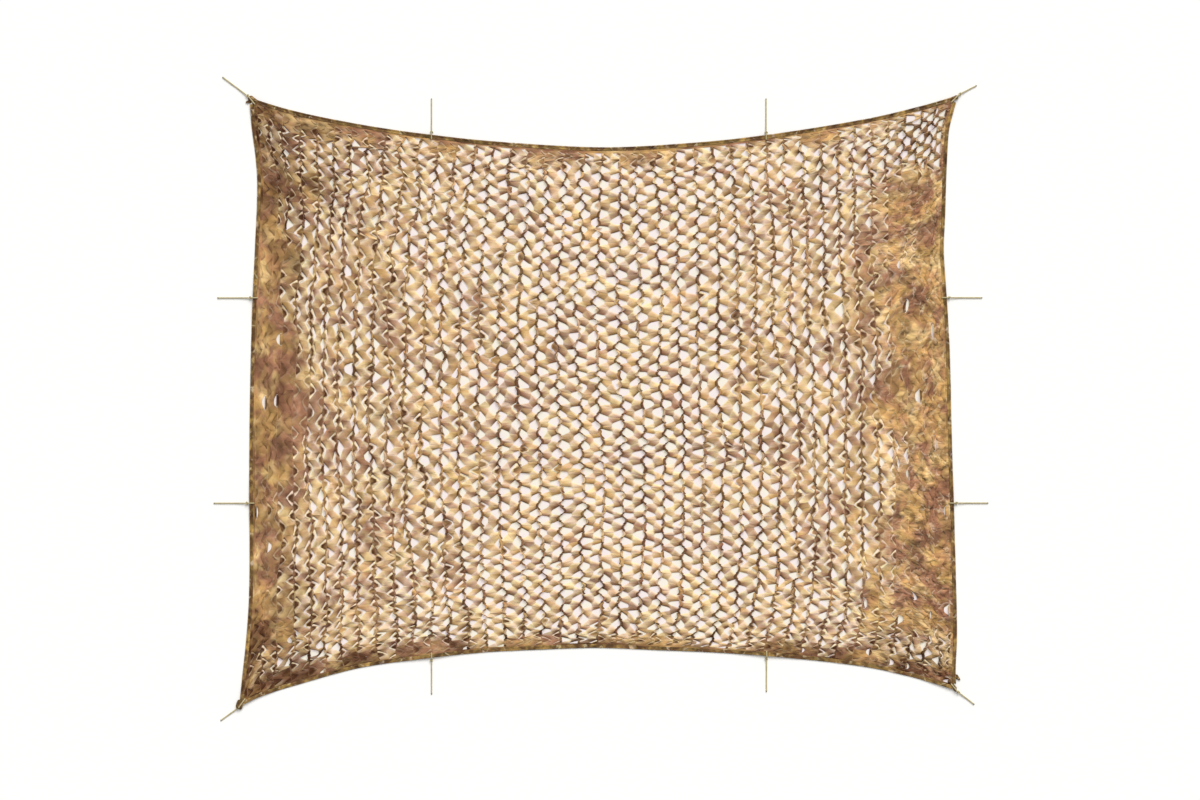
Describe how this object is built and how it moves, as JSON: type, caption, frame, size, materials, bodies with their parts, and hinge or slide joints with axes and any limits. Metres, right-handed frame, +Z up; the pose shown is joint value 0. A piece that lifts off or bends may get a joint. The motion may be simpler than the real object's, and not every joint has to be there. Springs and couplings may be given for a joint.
{
  "type": "camouflage netting",
  "caption": "Slit desert-pattern camouflage cloth pulled open into a net, with bound edges and tie cords, laid flat.",
  "frame": {"origin": "on the ground under the middle of the bound cloth's box, without the ties", "axes": "+X along the net's width towards its right edge, +Y towards its top edge, +Z up from the ground"},
  "size_m": [4.4291, 3.6855, 0.0234],
  "materials": {
    "printed_cloth": "matt printed polyester, sand, ochre, brown and mauve-brown blotches",
    "binding_cloth": "matt printed polyester, folded and stitched",
    "cord": "matt twisted tan cord"
  },
  "bodies": {
    "root": {"net_panel": "printed_cloth", "binding_top": "binding_cloth", "binding_bottom": "binding_cloth", "binding_left": "binding_cloth", "binding_right": "binding_cloth", "hitch_top_1": "cord", "hitch_top_2": "cord", "hitch_bottom_1": "cord", "hitch_bottom_2": "cord", "hitch_left_1": "cord", "hitch_left_2": "cord", "hitch_right_1": "cord", "hitch_right_2": "cord", "hitch_top_left": "cord", "hitch_top_right": "cord", "hitch_bottom_left": "cord", "hitch_bottom_right": "cord", "tie_top_1": "cord", "tie_top_2": "cord", "tie_bottom_1": "cord", "tie_bottom_2": "cord", "tie_left_1": "cord", "tie_left_2": "cord", "tie_right_1": "cord", "tie_right_2": "cord", "tie_top_left": "cord", "tie_top_right": "cord", "tie_bottom_left": "cord", "tie_bottom_right": "cord"}
  },
  "joints": []
}
